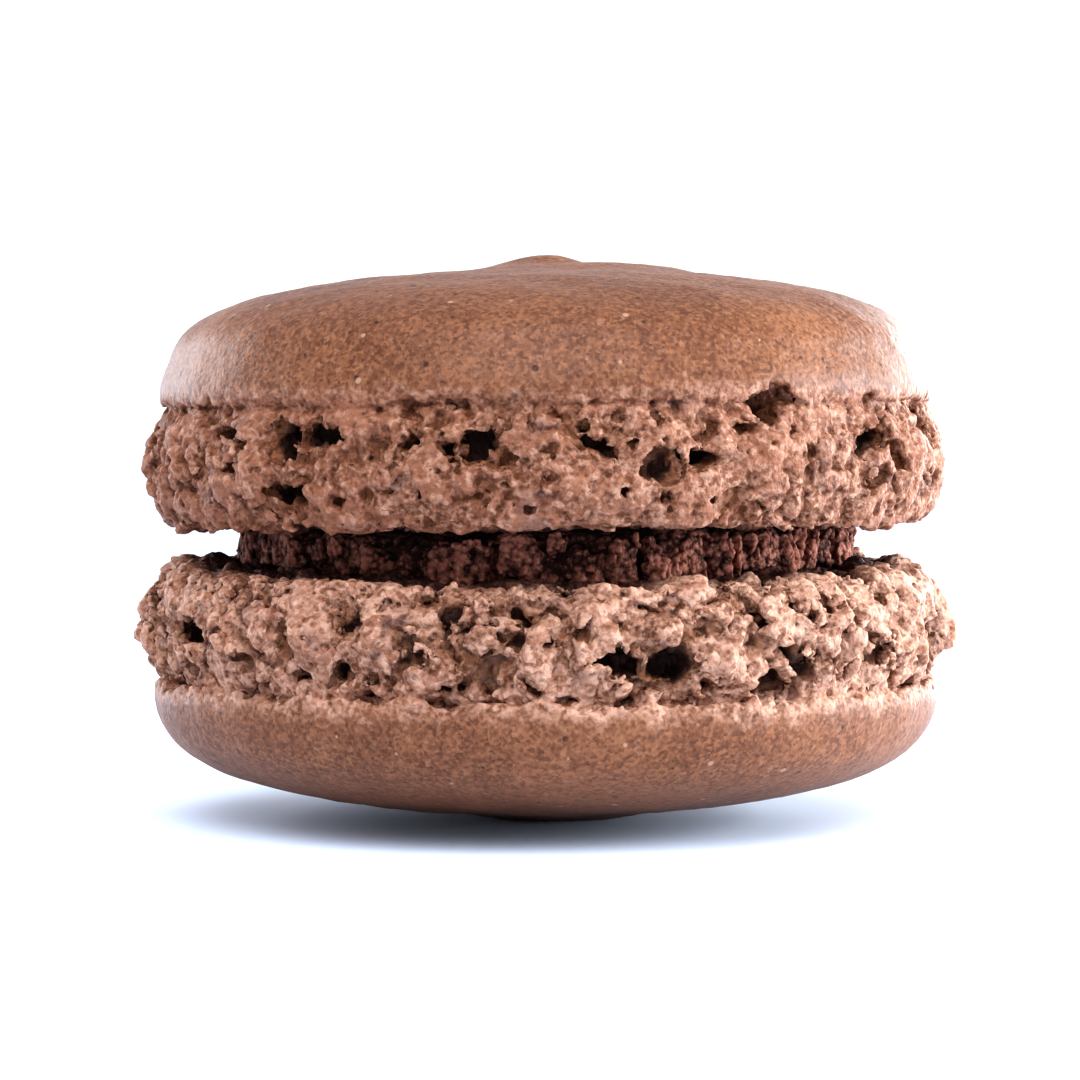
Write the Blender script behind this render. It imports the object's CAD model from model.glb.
# Chocolate macaron: two baked almond shells and the ganache between them, as the photograph shows it.
# Every length in the dictionaries is in millimetres; the blend itself is in metres.
import math
import random

import bmesh
import bpy
import numpy as np
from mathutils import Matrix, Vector


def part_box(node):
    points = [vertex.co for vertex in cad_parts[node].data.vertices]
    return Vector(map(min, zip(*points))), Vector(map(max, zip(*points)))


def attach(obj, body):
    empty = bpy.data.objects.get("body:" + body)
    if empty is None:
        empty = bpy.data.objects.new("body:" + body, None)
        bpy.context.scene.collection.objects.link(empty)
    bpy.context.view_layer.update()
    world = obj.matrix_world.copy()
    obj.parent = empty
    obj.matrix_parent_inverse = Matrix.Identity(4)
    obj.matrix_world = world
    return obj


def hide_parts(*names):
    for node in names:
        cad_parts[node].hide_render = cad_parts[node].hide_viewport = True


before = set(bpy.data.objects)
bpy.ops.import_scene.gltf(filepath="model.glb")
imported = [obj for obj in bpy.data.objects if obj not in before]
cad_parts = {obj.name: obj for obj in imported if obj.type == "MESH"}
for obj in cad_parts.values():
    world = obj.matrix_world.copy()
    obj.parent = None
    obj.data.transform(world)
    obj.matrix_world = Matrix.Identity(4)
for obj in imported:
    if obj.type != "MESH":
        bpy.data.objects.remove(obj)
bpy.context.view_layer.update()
print("frame loaded:", ", ".join(sorted(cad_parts)))

mm = 0.001
perMetre = 1000.0  # mm


class Wire:  # a node's output, so that maths on it can be written as a plain expression
    def __init__(self, graph, socket):
        self.graph = graph
        self.socket = socket

    def __add__(self, other):
        return self.graph.math("ADD", self, other)

    def __radd__(self, other):
        return self.graph.math("ADD", other, self)

    def __sub__(self, other):
        return self.graph.math("SUBTRACT", self, other)

    def __rsub__(self, other):
        return self.graph.math("SUBTRACT", other, self)

    def __mul__(self, other):
        return self.graph.math("MULTIPLY", self, other)

    def __rmul__(self, other):
        return self.graph.math("MULTIPLY", other, self)

    def __truediv__(self, other):
        return self.graph.math("DIVIDE", self, other)

    def __rtruediv__(self, other):
        return self.graph.math("DIVIDE", other, self)

    def __pow__(self, other):
        return self.graph.math("POWER", self, other)

    def __neg__(self):
        return self.graph.math("MULTIPLY", self, -1.0)


class Graph:  # adds nodes to one tree
    def __init__(self, tree):
        self.tree = tree

    def node(self, kind, settings=None, sockets=None, out=0):
        made = self.tree.nodes.new(kind)
        for name, value in (settings or {}).items():
            setattr(made, name, value)
        for name, value in (sockets or {}).items():
            socket = made.inputs[name]
            if isinstance(value, Wire):
                self.tree.links.new(value.socket, socket)
            elif isinstance(value, (int, float)) and hasattr(socket.default_value, "__len__"):
                socket.default_value = [value] * len(socket.default_value)
            else:
                socket.default_value = value
        if isinstance(out, tuple):
            return tuple(Wire(self, made.outputs[each]) for each in out)
        return Wire(self, made.outputs[out]) if made.outputs else made

    def math(self, operation, *values):
        isVector = any(isinstance(v, Wire) and v.socket.type in {"VECTOR", "RGBA"} for v in values)
        kind = "ShaderNodeVectorMath" if isVector else "ShaderNodeMath"
        return self.node(kind, {"operation": operation}, dict(enumerate(values)))

    def least(self, first, second):
        return self.math("MINIMUM", first, second)

    def most(self, first, second):
        return self.math("MAXIMUM", first, second)

    def softMost(self, first, second, blend):  # a maximum whose corner is rounded over this length
        return self.math("SMOOTH_MAX", first, second, blend)

    def length(self, vector):
        return self.node("ShaderNodeVectorMath", {"operation": "LENGTH"}, {0: vector}, "Value")

    def dot(self, first, second):
        return self.node("ShaderNodeVectorMath", {"operation": "DOT_PRODUCT"}, {0: first, 1: second}, "Value")

    def parts(self, vector):
        return self.node("ShaderNodeSeparateXYZ", {}, {0: vector}, (0, 1, 2))

    def vector(self, x, y, z):
        return self.node("ShaderNodeCombineXYZ", {}, {0: x, 1: y, 2: z})

    def fade(self, value, low, high, atLow=0.0, atHigh=1.0):  # a smooth step from atLow to atHigh
        return self.node(
            "ShaderNodeMapRange", {"interpolation_type": "SMOOTHSTEP"},
            {0: value, 1: low, 2: high, 3: atLow, 4: atHigh})

    def noise(self, place, size, detail=0.0):  # about -1 to 1
        sockets = {"Vector": place, "Scale": 1.0 / size, "Detail": detail}
        return self.node("ShaderNodeTexNoise", {}, sockets, 0) * 2.0 - 1.0

    def drift(self, place, size, detail=1.0):  # three such noises as a vector
        sockets = {"Vector": place, "Scale": 1.0 / size, "Detail": detail}
        return self.node("ShaderNodeTexNoise", {}, sockets, 1) * 2.0 - 1.0

    def cells(self, place, size):  # each cell's distance, in cells and not in mm, and its random colour
        sockets = {"Vector": place, "Scale": 1.0 / size}
        return self.node("ShaderNodeTexVoronoi", {"feature": "F1"}, sockets, ("Distance", "Color"))

    def mix(self, factor, first, second):  # of colours
        return self.node("ShaderNodeMix", {"data_type": "RGBA"}, {0: factor, 6: first, 7: second}, 2)


def geometryGraph(name, values):  # a tree with one named input for each of the values
    tree = bpy.data.node_groups.new(name, "GeometryNodeTree")
    kinds = {float: "NodeSocketFloat", bpy.types.Material: "NodeSocketMaterial"}
    tree.interface.new_socket("Geometry", in_out="INPUT", socket_type="NodeSocketGeometry")
    for label, value in values.items():
        tree.interface.new_socket(label, in_out="INPUT", socket_type=kinds[type(value)])
    tree.interface.new_socket("Geometry", in_out="OUTPUT", socket_type="NodeSocketGeometry")
    graph = Graph(tree)
    entry = tree.nodes.new("NodeGroupInput")
    graph.given = {socket.name: Wire(graph, socket) for socket in entry.outputs if socket.name}
    return graph


def evaluatedMesh(obj):
    depsgraph = bpy.context.evaluated_depsgraph_get()
    return bpy.data.meshes.new_from_object(obj.evaluated_get(depsgraph), depsgraph=depsgraph)


def triangleCount(mesh):
    return sum(len(polygon.vertices) - 2 for polygon in mesh.polygons)


# Drops the bits and the closed bubbles that aren't joined to the mesh's largest shell, and closes pinholes
def keepMainShell(mesh, pinholeSides=12):
    work = bmesh.new()
    work.from_mesh(mesh)
    unseen = set(work.verts)
    largest = set()
    while unseen:
        front = [unseen.pop()]
        shell = set(front)
        while front:
            vertex = front.pop()
            others = {edge.other_vert(vertex) for edge in vertex.link_edges} & unseen
            unseen -= others
            shell |= others
            front.extend(others)
        if len(shell) > len(largest):
            largest = shell
    bmesh.ops.delete(work, geom=[vertex for vertex in work.verts if vertex not in largest], context="VERTS")
    rims = [edge for edge in work.edges if edge.is_boundary]
    filled = bmesh.ops.holes_fill(work, edges=rims, sides=pinholeSides)["faces"]
    bmesh.ops.triangulate(work, faces=filled)
    work.to_mesh(mesh)
    work.free()


def pieceFromTree(name, graph, values, points, mostTriangles):
    maker = bpy.data.objects.new(name + "Maker", points)
    bpy.context.scene.collection.objects.link(maker)
    nodes = maker.modifiers.new("Make", "NODES")
    nodes.node_group = graph.tree
    for item in graph.tree.interface.items_tree:
        if item.in_out == "INPUT" and item.name in values:
            nodes[item.identifier] = values[item.name]
    mesh = evaluatedMesh(maker)
    if mesh.materials[0] is None:
        mesh.materials.pop(index=0)
    bpy.data.objects.remove(maker)
    mesh.name = name
    piece = bpy.data.objects.new(name, mesh)
    bpy.context.scene.collection.objects.link(piece)
    triangles = triangleCount(mesh)
    if triangles > mostTriangles:
        thin = piece.modifiers.new("Thin", "DECIMATE")
        thin.ratio = mostTriangles / triangles
        fine = piece.data
        piece.data = evaluatedMesh(piece)
        piece.modifiers.clear()
        bpy.data.meshes.remove(fine)
        piece.data.name = name
    keepMainShell(piece.data)
    print(f"{name}: {triangles} triangles made, {triangleCount(piece.data)} kept")
    return piece


def pointMesh(name, places, attributes):  # loose points in mm, each with one value of every attribute
    mesh = bpy.data.meshes.new(name)
    mesh.from_pydata([[c * mm for c in place] for place in places], [], [])
    for label, values in attributes.items():
        kind = {Vector: "FLOAT_VECTOR", float: "FLOAT", bool: "BOOLEAN"}[type(values[0])]
        data = mesh.attributes.new(label, kind, "POINT").data
        data.foreach_set("vector" if kind == "FLOAT_VECTOR" else "value", np.array(values).ravel())
    return mesh


class Hollows:  # ellipsoids that face outwards from the upright axis, gathered as points
    def __init__(self):
        self.places = []
        self.values = {"widthAxis": [], "heightAxis": [], "depthAxis": [], "least": [], "isSmall": []}

    def add(self, azimuth, radius, z, halfWidth, halfHeight, halfDepth, tilt=0.0, isSmall=False):
        turn, lean = math.radians(azimuth), math.radians(tilt)
        outward = Vector((math.sin(turn), -math.cos(turn), 0.0))
        right = Vector((math.cos(turn), math.sin(turn), 0.0))
        up = Vector((0.0, 0.0, 1.0))
        self.places.append(outward * radius + up * z)
        self.values["widthAxis"].append((right * math.cos(lean) + up * math.sin(lean)) / halfWidth)
        self.values["heightAxis"].append((up * math.cos(lean) - right * math.sin(lean)) / halfHeight)
        self.values["depthAxis"].append(outward / halfDepth)
        self.values["least"].append(min(halfWidth, halfHeight, halfDepth))
        self.values["isSmall"].append(isSmall)


# How far a place is inside the nearest hollow of the point cloud, in mm, with its outline shaken
def nearestHollow(graph, cloud, place, shake):
    nearest = graph.node("GeometryNodeSampleNearest", {"domain": "POINT"}, {0: cloud, 1: place * mm})

    def taken(value, kind):
        return graph.node("GeometryNodeSampleIndex", {"data_type": kind, "domain": "POINT"},
                          {0: cloud, 1: value, 2: nearest})

    def named(name, kind):
        return taken(graph.node("GeometryNodeInputNamedAttribute", {"data_type": kind}, {"Name": name}), kind)

    centre = taken(graph.node("GeometryNodeInputPosition"), "FLOAT_VECTOR") * perMetre
    offset = place - centre + shake
    axes = ("widthAxis", "heightAxis", "depthAxis")
    shares = [graph.dot(offset, named(axis, "FLOAT_VECTOR")) for axis in axes]
    return (1.0 - graph.length(graph.vector(*shares))) * named("least", "FLOAT")


# Turns a field of distances (in mm, negative inside) into a mesh, without the bits that lie loose
def meshFromDistance(graph, distance, low, high, voxel):
    density = graph.node("ShaderNodeClamp", {}, {0: 0.5 - distance, 1: 0.0, 2: 1.0})
    sockets = {"Density": density, "Background": 0.0, "Min": low, "Max": high}
    for axis, span in zip("XYZ", high - low):
        sockets["Resolution " + axis] = math.ceil(span / (voxel * mm))
    volume = graph.node("GeometryNodeVolumeCube", {}, sockets)
    mesh = graph.node("GeometryNodeVolumeToMesh", {"resolution_mode": "GRID"},
                      {"Volume": volume, "Threshold": 0.5})
    island = graph.node("GeometryNodeInputMeshIsland")
    nearest = graph.node("GeometryNodeSampleNearest", {"domain": "POINT"}, {0: mesh, 1: (low + high) / 2})
    main = graph.node("GeometryNodeSampleIndex", {"data_type": "INT", "domain": "POINT"},
                      {0: mesh, 1: island, 2: nearest})
    isLoose = graph.node("FunctionNodeCompare", {"data_type": "INT", "operation": "NOT_EQUAL"},
                         {2: island, 3: main})
    return graph.node("GeometryNodeDeleteGeometry", {"domain": "POINT"}, {0: mesh, 1: isLoose})


# Moves the mesh onto a finer field, a little at a time, so that only its points pay for the fine relief
def settleMesh(graph, mesh, distance, rounds=2, longest=0.25):
    for _ in range(rounds):
        step = graph.node("ShaderNodeClamp", {}, {0: distance, 1: -longest, 2: longest}) * -mm
        offset = graph.node("GeometryNodeInputNormal") * step
        mesh = graph.node("GeometryNodeSetPosition", {}, {"Geometry": mesh, "Offset": offset})
    return mesh


def voxelSize(detail):
    return detail["voxel"]


def depthInside(graph, distance):  # in mm, held within what the materials tell apart
    return graph.node("ShaderNodeClamp", {}, {0: -distance, 1: -0.6, 2: 3.0})


def storeNumber(graph, mesh, name, value):
    return graph.node("GeometryNodeStoreNamedAttribute", {"data_type": "FLOAT", "domain": "POINT"},
                      {"Geometry": mesh, "Name": name, "Value": value})


def finishTree(graph, mesh):
    smooth = graph.node("GeometryNodeSetShadeSmooth", {}, {"Geometry": mesh})
    whole = graph.node("GeometryNodeRealizeInstances", {}, {"Geometry": smooth})
    sockets = {"Geometry": whole, "Material": graph.given["material"]}
    painted = graph.node("GeometryNodeSetMaterial", {}, sockets)
    end = graph.tree.nodes.new("NodeGroupOutput")
    graph.tree.links.new(painted.socket, end.inputs[0])


# Round crumbs side by side, from about -0.3 in the gaps to 0.3 on top. Meshes and materials share them.
def crumbs(graph, place, size):
    distance, _ = graph.cells(place + 0.5 * size * graph.drift(place, 1.3 * size), size)
    return 0.3 - 1.3 * distance * distance


# The uneven crumb of the baked foam, in mm: round crumbs in some patches, small round cups in others
def foamCrumbs(graph, place):
    kind = graph.fade(graph.noise(place, 2.0, 1.0), -0.35, 0.35, -1.0, 0.8)
    small = footDetail["crumbHeight"] * crumbs(graph, place, footDetail["crumbSize"])
    return small * kind + footDetail["grainHeight"] * graph.noise(place, 0.7, 3.0)


# Small round pits in some of the foam's cells, 0 outside them and up to about 1 at their middles
def foamPits(graph, place):
    size, share = footDetail["pitSize"], footDetail["pitShare"]
    distance, colour = graph.cells(place + 0.2 * graph.drift(place, 0.5 * size), size)
    chance, width, _ = graph.parts(colour)
    reach = 0.1 + 0.25 * width * width
    return graph.fade(distance / reach, 1.15, 0.5) * graph.fade(chance, 1.0 - share, 1.02 - share)


# Lumps of the broken ganache, taller than they are wide
def ganacheKnobs(graph, place):
    return crumbs(graph, place * Vector((1.0, 1.0, 0.5)), ganache["knobSize"])


# How far the faces at the filling fall away at the front, as a share of their greatest drop
def frontDrop(graph, y, radius):
    front = graph.most(-y / graph.most(radius, 1.0), 0.0)
    return front ** 4.0 * graph.fade(radius, 14.2, 17.2)


# Baked shells. Levels are counted from a shell's flat face towards its crust: up is the way they go, dome the
# power that rounds the crust's outline, and top the level that presses its tip flat.
bakedShell = {
    "upper": {
        "face": 15.9, "up": 1.0, "slope": 0.0087, "rim": 20.5, "belly": 21.7, "neck": 20.5,
        "footHeight": 6.3, "crustRadius": 20.3, "crustHeight": 7.25, "dome": 4.0, "top": 15.0,
        "knob": 0.5, "swell": 0.3, "swellX": 2.2, "swellFrom": 4.0, "swellTo": 7.0, "lip": 0.4,
        "frontLift": 0.22, "lumpHeight": 0.5, "gapDepth": 0.45, "knobHeight": 0.3,
    },
    "lower": {
        "face": 13.7, "up": -1.0, "slope": 0.0, "rim": 20.4, "belly": 22.0, "neck": 20.7,
        "footHeight": 6.1, "crustRadius": 21.0, "crustHeight": 7.15, "dome": 3.2, "top": 13.7,
        "knob": 0.0, "swell": 0.6, "swellX": 0.5, "swellFrom": 2.2, "swellTo": 8.5, "lip": 0.1,
        "frontLift": 0.5, "lumpHeight": 0.85, "gapDepth": 0.8, "knobHeight": 0.5,
    },
}
footDetail = {
    "fullness": 0.75, "lumpSize": 2.7, "gapSize": 1.7, "knobSize": 1.25, "crumbSize": 0.42,
    "crumbHeight": 0.2, "grainHeight": 0.2, "pitSize": 0.62, "pitShare": 0.6, "pitDepth": 0.35,
    "hiddenHollows": 44, "hiddenFrom": 70, "hiddenSpan": 220,  # out of sight: how many, and where in degrees
    "smallSpacing": 1.6, "sunk": 0.3, "widening": 1.3, "heightening": 1.4, "deepening": 0.85,
    "voxel": 0.15, "quickVoxel": 0.24, "triangles": 196000,
}
shellRoom = Vector((0.9, 0.9, 0.6)) * mm  # left round a shell's solid for what stands out of it
# Broken-open bubbles that face the viewer: azimuth in degrees, level, half width, half height, depth, tilt
upperHollows = (
    (-60, 2.0, 0.5, 0.5, 1.2, 0), (-50, 5.0, 1.0, 0.35, 1.5, 0), (-46, 4.0, 0.3, 0.4, 0.8, 0),
    (-48, 3.2, 0.4, 0.35, 0.9, 0), (-39, 4.6, 0.85, 0.75, 2.2, 0), (-32, 4.8, 1.6, 0.35, 1.8, -4),
    (-38, 1.8, 1.2, 0.5, 1.6, -12), (-29, 1.8, 0.35, 0.25, 0.9, 15), (-22, 4.2, 0.3, 0.25, 0.9, 0),
    (-18, 4.5, 0.7, 0.33, 1.6, 25), (-13, 4.2, 0.3, 0.3, 1.0, 0), (-13, 6.2, 0.35, 0.15, 0.7, 0),
    (-9, 4.3, 0.85, 0.7, 1.9, 0), (-6, 3.6, 0.8, 0.5, 0.9, -20), (-17, 1.8, 0.35, 0.3, 1.0, 0),
    (-19, 2.3, 0.7, 0.4, 0.5, 20), (-5, 2.4, 0.25, 0.25, 0.8, 0), (0, 4.2, 0.3, 0.3, 0.9, 0),
    (0, 2.8, 0.3, 0.25, 0.7, 0), (7, 4.2, 0.9, 0.33, 1.7, -25), (12, 4.4, 0.3, 0.25, 0.8, 0),
    (15, 5.4, 0.25, 0.25, 0.7, 0), (15, 3.3, 1.2, 0.7, 1.2, 0), (21, 3.7, 0.85, 0.4, 2.0, 5),
    (23, 5.2, 0.3, 0.3, 0.8, 30), (28, 5.2, 0.4, 0.3, 1.0, 0), (32, 6.0, 1.4, 0.6, 2.1, 30),
    (36, 4.9, 0.3, 0.25, 0.8, 0), (39, 4.0, 0.4, 0.45, 1.1, 35), (53, 4.5, 1.8, 0.5, 2.2, 20),
    (58, 3.6, 0.9, 0.5, 1.4, -35), (53, 2.4, 0.9, 0.35, 1.4, 15), (-72, 3.6, 0.6, 0.35, 0.7, 0),
)
lowerHollows = (
    (-60, 3.2, 1.3, 0.6, 1.9, -5), (-50, 3.2, 0.45, 0.3, 1.0, 0), (-53, 1.0, 0.4, 0.35, 0.8, 40),
    (-39, 1.0, 0.35, 0.2, 0.7, 25), (-38, 2.8, 0.45, 0.4, 1.1, 0), (-46, 4.2, 0.35, 0.4, 0.9, 60),
    (-35, 5.0, 0.6, 0.25, 1.3, -10), (-28, 1.1, 0.25, 0.2, 0.7, 0), (-27, 2.2, 0.6, 0.5, 1.2, -30),
    (-29, 4.9, 0.7, 0.3, 1.4, 35), (-20, 2.8, 0.35, 0.3, 1.0, 0), (-19, 4.4, 0.75, 0.22, 1.2, 48),
    (-13, 1.8, 0.6, 0.3, 1.4, 30), (-13, 3.0, 0.2, 0.55, 0.8, 0), (-8, 4.0, 0.5, 0.22, 1.1, 70),
    (-3, 1.7, 0.6, 0.4, 1.7, -35), (-4, 3.1, 0.55, 0.28, 1.2, -10), (-12, 5.6, 0.85, 0.22, 1.2, -15),
    (-2, 5.3, 0.55, 0.22, 1.1, -30), (2, 2.5, 0.45, 0.22, 0.9, 35), (5, 2.4, 0.5, 0.28, 1.1, 30),
    (16, 1.2, 0.35, 0.28, 1.0, 0), (23, 2.0, 0.45, 0.22, 1.1, -45), (9, 4.0, 1.3, 0.4, 2.2, -4),
    (17, 4.2, 1.1, 0.7, 2.3, -15), (22, 5.5, 0.5, 0.42, 1.3, 30), (8, 6.0, 0.5, 0.18, 0.8, 0),
    (3, 5.8, 0.7, 0.2, 0.9, -8), (30, 1.8, 0.7, 0.22, 1.2, -35), (38, 1.8, 0.4, 0.2, 0.9, -45),
    (42, 1.6, 0.5, 0.4, 1.4, -30), (44, 4.0, 0.35, 0.3, 1.1, 0), (52, 4.2, 1.0, 0.25, 1.4, 5),
    (37, 4.4, 1.5, 0.33, 1.6, -35), (32, 5.4, 0.95, 0.6, 2.0, 0), (70, 3.0, 1.0, 0.5, 1.2, 10),
)


def footRadius(shell, level):
    along = min(1.0, max(0.0, level / shell["footHeight"]))
    bulge = shell["belly"] - (shell["rim"] + shell["neck"]) / 2
    straight = shell["rim"] + (shell["neck"] - shell["rim"]) * along
    return straight + bulge * math.sin(math.pi * along) ** footDetail["fullness"]


# The hollows seen from the front, others like them at the back, and small ones all round
def hollowPoints(name, shell, seen, seed):
    draw = random.Random(seed)
    hollows = Hollows()

    def dig(azimuth, level, halfWidth, halfHeight, depth, tilt, isSmall=False):
        radius = footRadius(shell, level) - footDetail["sunk"] * depth
        x = radius * math.sin(math.radians(azimuth))
        z = shell["face"] + shell["up"] * level + x * shell["slope"]
        hollows.add(
            azimuth, radius, z, halfWidth * footDetail["widening"], halfHeight * footDetail["heightening"],
            depth * footDetail["deepening"], tilt, isSmall)

    for hollow in seen:
        dig(*hollow)
    hidden = footDetail["hiddenHollows"]
    for index in range(hidden):
        halfWidth = draw.uniform(0.35, 1.1) if index % 3 else draw.uniform(1.0, 1.8)
        azimuth = footDetail["hiddenFrom"] + footDetail["hiddenSpan"] * (index + draw.random()) / hidden
        level = draw.uniform(1.0, shell["footHeight"] - 0.4)
        halfHeight = halfWidth * draw.uniform(0.3, 0.6)
        depth = draw.uniform(0.9, 2.2)
        dig(azimuth, level, halfWidth, halfHeight, depth, draw.uniform(-40, 40))
    rows = round(shell["footHeight"] / footDetail["smallSpacing"])
    around = round(2 * math.pi * shell["belly"] / footDetail["smallSpacing"])
    for row in range(rows):
        for step in range(around):
            halfWidth = draw.choice((0.06, 0.09, 0.12, 0.18, 0.26))
            azimuth = 360 * (step + draw.random()) / around
            level = shell["footHeight"] * (row + draw.random()) / rows
            halfHeight = halfWidth * draw.uniform(0.6, 1.0)
            depth = halfWidth * draw.uniform(2.0, 3.5)
            dig(azimuth, level, halfWidth, halfHeight, depth, draw.uniform(-60, 60), isSmall=True)
    return pointMesh(name, hollows.places, hollows.values)


def bakedShellGraph(values, low, high):
    graph = geometryGraph("bakedShell", values)
    shell = graph.given
    place = graph.node("GeometryNodeInputPosition") * perMetre
    x, y, z = graph.parts(place)
    level = (z - shell["face"] - x * shell["slope"]) * shell["up"]
    radius = graph.length(graph.vector(x, y, 0.0))
    wave = graph.noise(place, 14.0)
    shaken = graph.drift(place, 1.1, 2.0)
    ragged, _, _ = graph.parts(shaken)

    # The domed crust, with the tip and the broad swell round it that the piping bag left
    knob = shell["knob"] * graph.fade(radius, 0.4, 3.0, 1.0, 0.0)
    fromSwell = graph.length(graph.vector(x - shell["swellX"], y, 0.0))
    swell = shell["swell"] * graph.fade(fromSwell, shell["swellFrom"], shell["swellTo"], 1.0, 0.0)
    above = level - shell["footHeight"] - knob - swell
    edge = above + 0.5 * ragged
    share = graph.most(above, 0.0) / shell["crustHeight"]
    across = (radius - 0.12 * wave) / shell["crustRadius"]
    steep = 2.0 * across / shell["crustRadius"]
    rise = shell["dome"] / shell["crustHeight"] * share ** (shell["dome"] - 1.0)
    slant = graph.math("SQRT", steep * steep + rise * rise)
    crust = (across * across + share ** shell["dome"] - 1.0) / graph.most(slant, 0.02)
    crust = crust - shell["lip"] * graph.fade(above, 2.8, 0.8) + graph.fade(edge, 0.5, 0.0, 0.0, 0.12)
    crust = graph.softMost(graph.most(crust, level - shell["top"]), -edge, 0.3)

    # The foot, bulging between the flat face and the crust
    along = graph.node("ShaderNodeClamp", {}, {0: level / shell["footHeight"]})
    bulge = shell["belly"] - (shell["rim"] + shell["neck"]) * 0.5
    swollen = graph.math("SINE", along * math.pi) ** footDetail["fullness"]
    side = radius - 0.25 * wave - (shell["rim"] + (shell["neck"] - shell["rim"]) * along + bulge * swollen)
    side = side + 0.4 * shell["lumpHeight"]
    lift = shell["frontLift"] * frontDrop(graph, y, radius) + 0.5 * ragged * graph.fade(radius, 17.0, 20.5)
    foot = graph.most(graph.softMost(side, lift - level, 0.4), edge - 0.3)
    nominal = graph.least(foot, crust)

    # Where the skin of the crust is, and where the foam lies open
    skin = graph.fade(above + 1.3 * ragged, -0.1, 1.1)
    rough = graph.fade(above + 1.3 * ragged, 0.7, -0.7) * graph.fade(radius, 15.6, 16.8)

    # Lumps with gaps between them, then the hollows broken into them
    lumps = graph.noise(place, footDetail["lumpSize"], 1.0)
    seams = graph.math("ABSOLUTE", graph.noise(place + 0.5 * shaken, footDetail["gapSize"], 1.0))
    gaps = graph.fade(seams, 0.0, 0.25, 1.0, 0.0) * graph.fade(lumps, 0.3, -0.2)
    shape = nominal - rough * (shell["lumpHeight"] * lumps - shell["gapDepth"] * gaps)
    isSmall = graph.node("GeometryNodeInputNamedAttribute", {"data_type": "BOOLEAN"}, {"Name": "isSmall"})
    fine, coarse = graph.node("GeometryNodeSeparateGeometry", {"domain": "POINT"},
                              {0: shell["Geometry"], 1: isSmall}, (0, 1))
    shape = graph.softMost(shape, nearestHollow(graph, coarse, place, 0.95 * shaken), 0.15)
    small = nearestHollow(graph, fine, place, 0.3 * shaken) - (1.0 - rough)
    shape = graph.softMost(shape, small, 0.06)
    mesh = meshFromDistance(graph, shape, low, high, voxelSize(footDetail))

    # Crumbs and pits over the foam, and a fine unevenness of the crust
    relief = shell["knobHeight"] * crumbs(graph, place, footDetail["knobSize"]) + foamCrumbs(graph, place)
    relief = relief - footDetail["pitDepth"] * foamPits(graph, place)
    even = 0.1 * graph.noise(place, 2.6) + 0.03 * graph.noise(place, 0.6, 1.0)
    detailed = shape - rough * relief - skin * even
    mesh = settleMesh(graph, mesh, detailed)
    depth = depthInside(graph, nominal)
    inner = graph.fade(radius + ragged, 19.4, 18.2) * graph.fade(level, 1.6, 0.9)
    mesh = storeNumber(graph, mesh, "depth", depth)
    mesh = storeNumber(graph, mesh, "skin", skin * graph.fade(depth, 0.1, 0.35, 1.0, 0.0))
    mesh = storeNumber(graph, mesh, "inner", inner)
    finishTree(graph, mesh)
    return graph


def bakedShellPiece(name, side, node, seen, seed, material):
    shell = bakedShell[side]
    values = {**shell, "material": material}
    low, high = (Vector(corner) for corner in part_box(node))
    graph = bakedShellGraph(values, low - shellRoom, high + shellRoom)
    points = hollowPoints(name + "Hollows", shell, seen, seed)
    piece = pieceFromTree(name, graph, values, points, footDetail["triangles"])
    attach(piece, "root")
    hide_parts(node)
    return piece


# Ganache between the two flat faces
ganache = {
    "lowerFace": bakedShell["lower"]["face"], "upperFace": bakedShell["upper"]["face"],
    "radius": 16.4, "overlap": 0.12, "edgeDrop": 0.45,
    "lobeHeight": 0.6, "knobSize": 1.5, "knobHeight": 0.85, "crumbSize": 0.42, "crumbHeight": 0.26,
    "crackHeight": 4.0, "crackDepth": 0.9, "roomAround": 1.2, "roomBelow": 1.1, "roomAbove": 0.6,
    "voxel": 0.12, "quickVoxel": 0.18, "triangles": 140000,
}
# Cracks from top to bottom: azimuth in degrees, half width
ganacheCracks = (
    (-43, 0.25), (-9, 0.3), (17, 0.22), (31, 0.2), (36, 0.2), (56, 0.25), (68, 0.3), (98, 0.25), (131, 0.3),
    (163, 0.2), (197, 0.3), (228, 0.25), (262, 0.3), (300, 0.2),
)


def ganacheGraph(values, low, high):
    graph = geometryGraph("ganache", values)
    place = graph.node("GeometryNodeInputPosition") * perMetre
    x, y, z = graph.parts(place)
    radius = graph.length(graph.vector(x, y, 0.0))
    shaken = graph.drift(place, 1.1, 1.0)
    edge = graph.fade(radius, ganache["radius"] - 2.4, ganache["radius"])
    side = radius - ganache["radius"] - ganache["lobeHeight"] * graph.noise(place, 4.5, 1.0)
    top = z - ganache["upperFace"] - ganache["overlap"] + ganache["edgeDrop"] * edge
    top = top - x * bakedShell["upper"]["slope"] + 0.3 * edge * graph.noise(place, 1.6)
    drop = bakedShell["lower"]["frontLift"] * frontDrop(graph, y, radius)
    bottom = ganache["lowerFace"] - ganache["overlap"] - drop - z
    shape = graph.softMost(graph.softMost(side, top, 0.5), bottom, 0.2)
    knobs = ganacheKnobs(graph, place)
    shape = shape - ganache["knobHeight"] * knobs * edge
    shape = graph.softMost(shape, nearestHollow(graph, graph.given["Geometry"], place, 0.5 * shaken), 0.12)
    mesh = meshFromDistance(graph, shape, low, high, voxelSize(ganache))
    relief = ganache["crumbHeight"] * crumbs(graph, place, ganache["crumbSize"])
    relief = relief + 0.1 * graph.noise(place, 0.3, 1.0)
    mesh = settleMesh(graph, mesh, shape - relief * edge)
    mesh = storeNumber(graph, mesh, "depth", depthInside(graph, side))
    finishTree(graph, mesh)
    return graph


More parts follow.
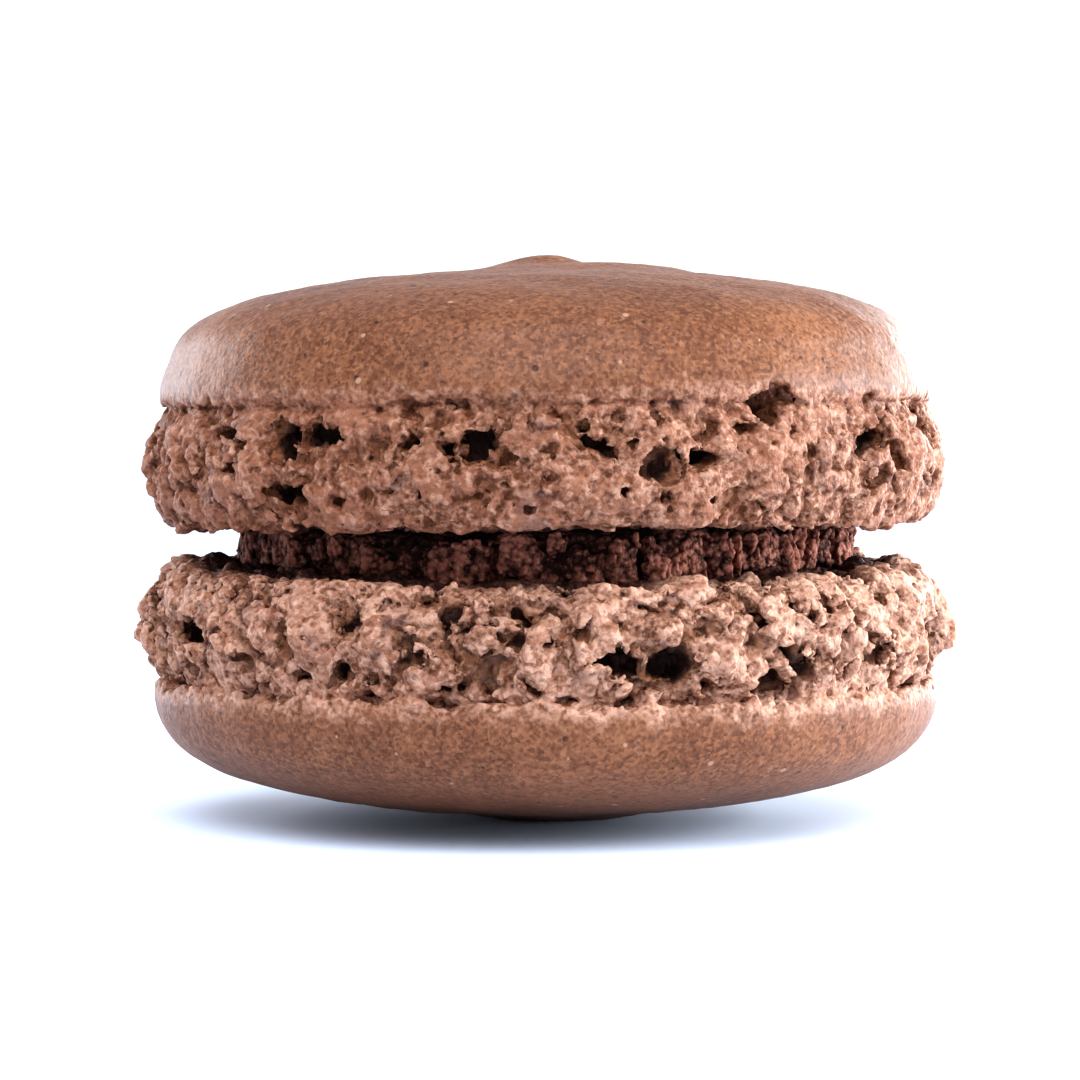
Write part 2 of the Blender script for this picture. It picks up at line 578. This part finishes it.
def ganachePiece(material):
    middle = (ganache["lowerFace"] + ganache["upperFace"]) / 2
    cracks = Hollows()
    for azimuth, halfWidth in ganacheCracks:
        cracks.add(
            azimuth, ganache["radius"], middle, halfWidth, ganache["crackHeight"], ganache["crackDepth"])
    points = pointMesh("ganacheCracks", cracks.places, cracks.values)
    reach = (ganache["radius"] + ganache["roomAround"]) * mm
    low = Vector((-reach, -reach, (ganache["lowerFace"] - ganache["roomBelow"]) * mm))
    high = Vector((reach, reach, (ganache["upperFace"] + ganache["roomAbove"]) * mm))
    values = {"material": material}
    graph = ganacheGraph(values, low, high)
    piece = pieceFromTree("ganacheFilling", graph, values, points, ganache["triangles"])
    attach(piece, "root")
    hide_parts("ganache")
    return piece


def shaderGraph(name):
    material = bpy.data.materials.new(name)
    material.use_nodes = True
    material.node_tree.nodes.clear()
    return material, Graph(material.node_tree)


def surface(graph, sockets):
    shader = graph.node("ShaderNodeBsdfPrincipled", {}, sockets)
    graph.node("ShaderNodeOutputMaterial", {}, {"Surface": shader})


def objectPlace(graph):  # in mm
    return graph.node("ShaderNodeTexCoord", {}, {}, "Object") * perMetre


def stored(graph, name):  # a number that the piece's own tree stored on its mesh
    return graph.node("ShaderNodeAttribute", {"attribute_name": name}, {}, "Fac")


def bumps(graph, height):  # height in mm
    return graph.node("ShaderNodeBump", {}, {"Height": height, "Distance": mm, "Strength": 1.0})


meringue = {
    "crust": (0.115, 0.036, 0.014), "crustPale": (0.305, 0.121, 0.054), "speck": (0.014, 0.006, 0.004),
    "dot": (0.56, 0.34, 0.22), "foam": (0.28, 0.108, 0.056), "foamPale": (0.67, 0.385, 0.262),
    "foamBrown": (0.10, 0.030, 0.011), "foamGrey": (0.13, 0.070, 0.060), "hollow": (0.028, 0.010, 0.006),
    "rim": (0.26, 0.095, 0.038), "inner": (0.030, 0.011, 0.007), "innerPale": (0.17, 0.062, 0.042),
    "crustRoughness": 0.52, "foamRoughness": 0.65, "bigSpeckRadius": 0.22,
}
bigSpeck = Vector((-0.5, -20.4, 23.9))  # a dark one that the photograph shows on the upper crust


def opaque(colour):
    return (*colour, 1.0)


def spots(graph, place, size, reach, share):  # 1 inside small round spots in this share of the cells
    distance, colour = graph.cells(place, size)
    chance, width, _ = graph.parts(colour)
    inSpot = graph.fade(distance / (0.5 + width), reach, 0.5 * reach)
    return inSpot * graph.fade(chance, 1.0 - share, 1.02 - share)


def meringueMaterial():
    material, graph = shaderGraph("bakedCocoaMeringue")
    place = objectPlace(graph)
    x, _, z = graph.parts(place)
    skin, depth, inner = (stored(graph, name) for name in ("skin", "depth", "inner"))
    cloud = graph.noise(place, 6.0, 2.0)
    mottle = graph.noise(place, 0.5, 2.0)
    grain = graph.noise(place, 0.24, 1.0)

    # The crust: flecked, darker underneath, with dark specks and a few pale dots
    fleck, _, _ = graph.parts(graph.cells(place, 0.17)[1])
    tone = graph.fade(0.5 * cloud + 0.5 * mottle + 0.5 * grain + 0.9 * fleck, -0.35, 1.35)
    tone = tone * graph.fade(z, 0.5, 5.0, 0.3, 1.0)
    crust = graph.mix(tone, opaque(meringue["crust"]), opaque(meringue["crustPale"]))
    speck = graph.most(spots(graph, place, 1.3, 0.11, 0.6), 0.6 * spots(graph, place + 17.0, 0.6, 0.17, 0.4))
    away = graph.length(place - bigSpeck) / meringue["bigSpeckRadius"]
    speck = graph.most(speck, graph.fade(away, 1.1, 0.7))
    crust = graph.mix(0.8 * speck, crust, opaque(meringue["speck"]))
    dot = spots(graph, place + 31.0, 1.4, 0.11, 0.45)
    flake, _, _ = graph.parts(graph.cells(place, 0.3)[1])
    pale = graph.most(0.6 * dot, graph.fade(flake + 0.3 * grain, 0.85, 1.1, 0.0, 0.12))
    crust = graph.mix(pale, crust, opaque(meringue["dot"]))

    # The foam: pale crumbs, brown gaps and rims, grey patches, dark pits and hollows
    crumb = foamCrumbs(graph, place) * 4.0
    pit = foamPits(graph, place)
    tone = graph.fade(0.7 * crumb + 0.5 * mottle + 0.5 * grain - 0.7 * depth, -0.7, 0.2)
    foam = graph.mix(tone, opaque(meringue["foamBrown"]), opaque(meringue["foam"]))
    bleached = graph.fade(z, 14.0, 16.0, 0.4, 0.0) + graph.fade(x, -16.0, 16.0, -0.15, 0.05)
    tone = 0.5 * crumb + 0.5 * grain + 0.4 * mottle + 0.3 * cloud + 0.7 * flake + bleached
    foam = graph.mix(graph.fade(tone, 0.1, 1.6), foam, opaque(meringue["foamPale"]))
    grey = graph.fade(graph.noise(place + 9.0, 2.2, 2.0) + 0.3 * grain, 0.15, 0.6)
    foam = graph.mix(0.6 * grey, foam, opaque(meringue["foamGrey"]))
    foam = graph.mix(flake * graph.fade(depth + 0.2 * mottle, 0.3, 0.8), foam, opaque(meringue["rim"]))
    dark = graph.most(graph.fade(depth + 0.15 * mottle, 0.6, 1.5), 0.6 * pit)
    foam = graph.mix(dark, foam, opaque(meringue["hollow"]))

    # The crumbled inner edge, then the crust over it all, with a ragged pale band where they meet
    tone = graph.fade(0.5 * crumb + grain + 0.5 * mottle, -0.2, 0.7)
    crumbled = graph.mix(tone, opaque(meringue["inner"]), opaque(meringue["innerPale"]))
    foam = graph.mix(inner, foam, crumbled)
    base = graph.mix(skin, foam, crust)
    band = graph.fade(skin, 0.0, 0.4) * graph.fade(skin, 1.0, 0.6) * graph.fade(grain + mottle, -0.3, 0.5)
    base = graph.mix(0.2 * band, base, opaque(meringue["foamPale"]))

    roughness = meringue["foamRoughness"] + (meringue["crustRoughness"] - meringue["foamRoughness"]) * skin
    foamHeight = 0.08 * crumb + 0.07 * grain + 0.05 * mottle
    crustHeight = 0.012 * grain + 0.04 * mottle - 0.02 * speck + 0.02 * dot
    surface(graph, {
        "Base Color": base, "Roughness": roughness + 0.06 * grain, "Specular IOR Level": 0.18,
        "Coat Weight": 0.1 * skin, "Coat Roughness": 0.4,
        "Normal": bumps(graph, foamHeight + (crustHeight - foamHeight) * skin),
    })
    return material


chocolate = {
    "dark": (0.035, 0.012, 0.008), "middle": (0.37, 0.130, 0.082), "pale": (0.48, 0.240, 0.170),
    "roughness": 0.7,
}


def ganacheMaterial():
    material, graph = shaderGraph("darkGanache")
    place = objectPlace(graph)
    depth = stored(graph, "depth")
    grain = graph.noise(place, 0.2, 3.0)
    patches = graph.noise(place, 1.6, 2.0)
    crumb = crumbs(graph, place, ganache["crumbSize"])
    knobs = ganacheKnobs(graph, place)
    tone = graph.fade(0.6 * patches + 0.9 * grain + 0.9 * crumb + knobs, -0.8, 0.5)
    base = graph.mix(tone, opaque(chocolate["dark"]), opaque(chocolate["middle"]))
    tone = graph.fade(grain + crumb + 0.5 * patches, 0.15, 0.9, 0.0, 0.8)
    base = graph.mix(tone, base, opaque(chocolate["pale"]))
    base = graph.mix(graph.fade(depth, 0.5, 1.3), base, opaque(chocolate["dark"]))
    surface(graph, {
        "Base Color": base, "Roughness": chocolate["roughness"] + 0.1 * grain, "Specular IOR Level": 0.12,
        "Normal": bumps(graph, 0.2 * crumb + 0.06 * grain),
    })
    return material


studio = {
    "cameraDistance": 200.0, "eyeLevel": 22.0, "cameraX": -0.27, "lookDown": 2.04, "lens": 123.3,
    "worldFront": 0.25, "worldSides": 0.7, "worldTop": 1.1, "worldBack": 1.4, "horizon": 0.4,
    "sky": (0.81, 0.885, 1.0), "backdrop": 1.05, "floorReach": 3000.0, "floorColour": (0.80, 0.86, 0.97),
    "window": 4.8, "windowHeight": 50.0, "windowInner": 15.0, "windowOuter": 38.0,
}
# Places and sizes in mm, aimed at the macaron's middle
softBoxes = {
    "rightBox": {"place": (200, 0, 26), "size": (150, 120), "power": 1.0, "colour": (0.84, 0.96, 1.08)},
    "rimBox": {"place": (120, 180, 34), "size": (120, 120), "power": 0.6, "colour": (0.84, 0.94, 1.0)},
    "leftBox": {"place": (-170, 130, 50), "size": (110, 140), "power": 0.35, "colour": (0.84, 0.91, 1.0)},
}
middleHeight = 15.0  # of the macaron, in mm


def makeFloor():
    mesh = bpy.data.meshes.new("floor")
    reach = studio["floorReach"] * mm
    corners = [(-reach, -reach, 0), (reach, -reach, 0), (reach, reach, 0), (-reach, reach, 0)]
    mesh.from_pydata(corners, [], [(0, 1, 2, 3)])
    floor = bpy.data.objects.new("floor", mesh)
    bpy.context.scene.collection.objects.link(floor)
    material, graph = shaderGraph("paleFloor")
    colour = opaque(studio["floorColour"])
    surface(graph, {"Base Color": colour, "Roughness": 0.9, "Specular IOR Level": 0.1})
    mesh.materials.append(material)


def makeWorld():
    world = bpy.data.worlds.new("studio")
    world.use_nodes = True
    world.node_tree.nodes.clear()
    graph = Graph(world.node_tree)
    isCamera = graph.node("ShaderNodeLightPath", {}, {}, "Is Camera Ray")
    direction = graph.node("ShaderNodeTexCoord", {}, {}, "Generated")
    _, back, up = graph.parts(direction)
    strength = graph.fade(back, -0.95, 0.0, studio["worldFront"], studio["worldSides"])
    strength = strength * graph.fade(up, 0.2, 1.0, 1.0, studio["worldTop"])
    strength = strength + studio["worldBack"] * graph.fade(back, 0.1, 0.8) * graph.fade(up, 0.45, 0.1)
    strength = strength + studio["horizon"] * graph.fade(back, 0.2, -0.4) * graph.fade(up, 0.3, 0.05)
    height = math.radians(studio["windowHeight"])
    towards = graph.dot(direction, Vector((0.0, -math.cos(height), math.sin(height))))
    outer, inner = (math.cos(math.radians(studio[name])) for name in ("windowOuter", "windowInner"))
    strength = strength + studio["window"] * graph.fade(towards, outer, inner)
    light = graph.node("ShaderNodeBackground", {}, {"Color": opaque(studio["sky"]), "Strength": strength})
    sockets = {"Color": opaque((1.0, 1.0, 1.0)), "Strength": studio["backdrop"]}
    white = graph.node("ShaderNodeBackground", {}, sockets)
    both = graph.node("ShaderNodeMixShader", {}, {0: isCamera, 1: light, 2: white})
    graph.node("ShaderNodeOutputWorld", {}, {"Surface": both})
    bpy.context.scene.world = world


def makeLights():
    for name, box in softBoxes.items():
        data = bpy.data.lights.new(name, "AREA")
        data.shape = "RECTANGLE"
        data.size, data.size_y = (side * mm for side in box["size"])
        data.energy = box["power"]
        data.color = box["colour"]
        light = bpy.data.objects.new(name, data)
        light.location = Vector(box["place"]) * mm
        towards = Vector((0, 0, middleHeight)) * mm - light.location
        light.rotation_euler = towards.to_track_quat("-Z", "Y").to_euler()
        bpy.context.scene.collection.objects.link(light)


def makeCamera():
    data = bpy.data.cameras.new("camera")
    data.sensor_width = 36.0
    data.lens = studio["lens"]
    data.clip_start = 0.01
    data.clip_end = 20.0
    camera = bpy.data.objects.new("camera", data)
    camera.location = Vector((studio["cameraX"], -studio["cameraDistance"], studio["eyeLevel"])) * mm
    camera.rotation_euler = (math.radians(90.0 - studio["lookDown"]), 0.0, 0.0)
    bpy.context.scene.collection.objects.link(camera)
    bpy.context.scene.camera = camera


makeCamera()
makeWorld()
makeLights()
makeFloor()
bpy.context.scene.view_settings.view_transform = "Standard"
bpy.context.scene.view_settings.look = "Medium High Contrast"
print("studio ready")

baked = meringueMaterial()
bakedShellPiece("upperBakedShell", "upper", "upper_shell", upperHollows, seed=11, material=baked)
bakedShellPiece("lowerBakedShell", "lower", "lower_shell", lowerHollows, seed=12, material=baked)
ganachePiece(ganacheMaterial())
print("macaron ready")
